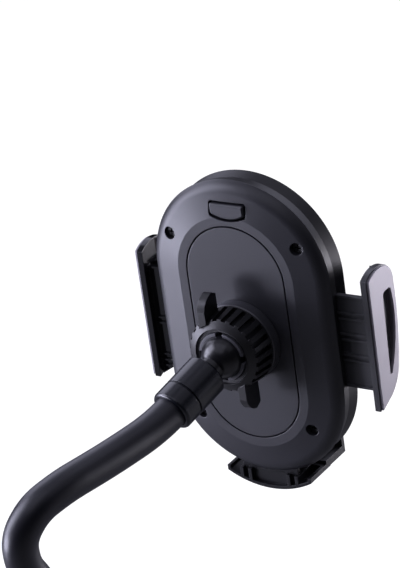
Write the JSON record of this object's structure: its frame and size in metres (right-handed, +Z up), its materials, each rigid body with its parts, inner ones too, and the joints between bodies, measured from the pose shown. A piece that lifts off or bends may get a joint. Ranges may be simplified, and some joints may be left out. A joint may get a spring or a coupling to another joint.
{
  "type": "cup holder phone mount",
  "caption": "Cup holder phone mount: expanding base, bent gooseneck, ball joint with winged collar, and a clamp head with sliding jaws, release button and foot.",
  "frame": {"origin": "middle of the base's underside", "axes": "+Z up along the base, the held device looks along -Y"},
  "size_m": [0.1089, 0.1255, 0.3447],
  "materials": {
    "cover_charcoal": "fine satin moulding",
    "housing_black": "satin",
    "trim_grey": "satin light grey",
    "pad_silicone": "matt silicone",
    "collar_black": "satin",
    "liner_nylon": "smooth nylon",
    "ball_gloss": "polished",
    "ferrule_black": "semi gloss",
    "sleeve_rubber": "smooth satin rubber",
    "core_steel": "plain steel",
    "base_plastic": "satin",
    "base_rubber": "matt rubber"
  },
  "bodies": {
    "base": {"base_sole": "base_rubber", "base_core": "base_plastic", "guide_plate": "base_plastic", "lower_ferrule": "ferrule_black", "gooseneck_sleeve": "sleeve_rubber", "gooseneck_core": "core_steel", "ferrule_band": "ferrule_black", "neck_ferrule": "ferrule_black", "ball_stud": "ball_gloss"},
    "dial": {"dial": "base_plastic", "scroll_plate": "base_plastic"},
    "liner": {"socket_liner": "liner_nylon"},
    "socket": {"ball_socket": "collar_black", "socket_retainer": "collar_black"},
    "collar": {"collar_nut": "collar_black"},
    "head": {"front_housing": "housing_black", "rear_cover": "cover_charcoal", "rear_panel": "cover_charcoal", "front_pad": "pad_silicone", "cover_screws": "core_steel", "gear_plate": "housing_black", "spread_spring": "core_steel", "latch_spring": "core_steel"},
    "right_arm": {"right_arm": "housing_black", "right_jaw_trim": "trim_grey", "right_jaw_pad": "pad_silicone"},
    "left_arm": {"left_arm": "housing_black", "left_jaw_trim": "trim_grey", "left_jaw_pad": "pad_silicone"},
    "pinion": {"sync_pinion": "housing_black"},
    "button": {"release_button": "cover_charcoal"},
    "latch": {"latch_lever": "housing_black"},
    "foot": {"foot_support": "housing_black", "foot_sole": "pad_silicone"},
    "leg_1": {"leg_1": "base_plastic", "leg_pad_1": "base_rubber"},
    "leg_2": {"leg_2": "base_plastic", "leg_pad_2": "base_rubber"},
    "leg_3": {"leg_3": "base_plastic", "leg_pad_3": "base_rubber"}
  },
  "joints": [
    {"name": "dial_turn", "type": "hinge", "parent": "base", "child": "dial", "pos_m": [0, 0, 0.08], "axis": [0, 0, 1], "range_deg": [0, 120]},
    {"name": "leg_1_slide", "type": "slide", "parent": "base", "child": "leg_1", "axis": [1, 0, 0], "range_m": [0, 0.01]},
    {"name": "leg_2_slide", "type": "slide", "parent": "base", "child": "leg_2", "axis": [-0.5, 0.866, 0], "range_m": [0, 0.01]},
    {"name": "leg_3_slide", "type": "slide", "parent": "base", "child": "leg_3", "axis": [-0.5, -0.866, 0], "range_m": [0, 0.01]},
    {"name": "ball_tilt", "type": "hinge", "parent": "base", "child": "liner", "pos_m": [-0.03, -0.0405, 0.2935], "axis": [1, 0, 0], "range_deg": [-42, 6]},
    {"name": "ball_pan", "type": "hinge", "parent": "liner", "child": "socket", "pos_m": [-0.03, -0.0405, 0.2935], "axis": [0, 0, 1], "range_deg": [-36, 12]},
    {"name": "ball_roll", "type": "hinge", "parent": "socket", "child": "head", "pos_m": [-0.03, -0.0405, 0.2935], "axis": [0, 1, 0], "continuous": true},
    {"name": "collar_turn", "type": "hinge", "parent": "socket", "child": "collar", "pos_m": [-0.03, -0.0405, 0.2935], "axis": [0, 1, 0], "range_deg": [0, 150]},
    {"name": "right_arm_slide", "type": "slide", "parent": "head", "child": "right_arm", "axis": [1, 0, 0], "range_m": [-0.004, 0.0115]},
    {"name": "left_arm_slide", "type": "slide", "parent": "head", "child": "left_arm", "axis": [-1, 0, 0], "range_m": [-0.004, 0.0115]},
    {"name": "pinion_spin", "type": "hinge", "parent": "head", "child": "pinion", "pos_m": [-0.03, -0.0615, 0.29325], "axis": [0, 1, 0], "range_deg": [-52, 140]},
    {"name": "release_press", "type": "slide", "parent": "head", "child": "button", "axis": [0, -1, 0], "range_m": [0, 0.0018], "stiffness_N_per_m": 500, "springref_m": -0.0015, "deforming": ["latch_spring"]},
    {"name": "latch_rock", "type": "hinge", "parent": "head", "child": "latch", "pos_m": [-0.03, -0.0586, 0.32225], "axis": [1, 0, 0], "range_deg": [0, 7.5]},
    {"name": "foot_slide", "type": "slide", "parent": "head", "child": "foot", "axis": [0, 0, -1], "range_m": [0, 0.018]}
  ],
  "couplings": [
    {"joint": "leg_1_slide", "follows": "dial_turn", "m_per_rad": 0.0047746},
    {"joint": "leg_2_slide", "follows": "dial_turn", "m_per_rad": 0.0047746},
    {"joint": "leg_3_slide", "follows": "dial_turn", "m_per_rad": 0.0047746},
    {"joint": "left_arm_slide", "follows": "right_arm_slide", "ratio": 1},
    {"joint": "pinion_spin", "follows": "right_arm_slide", "rad_per_m": 200},
    {"joint": "latch_rock", "follows": "release_press", "rad_per_m": 70}
  ]
}
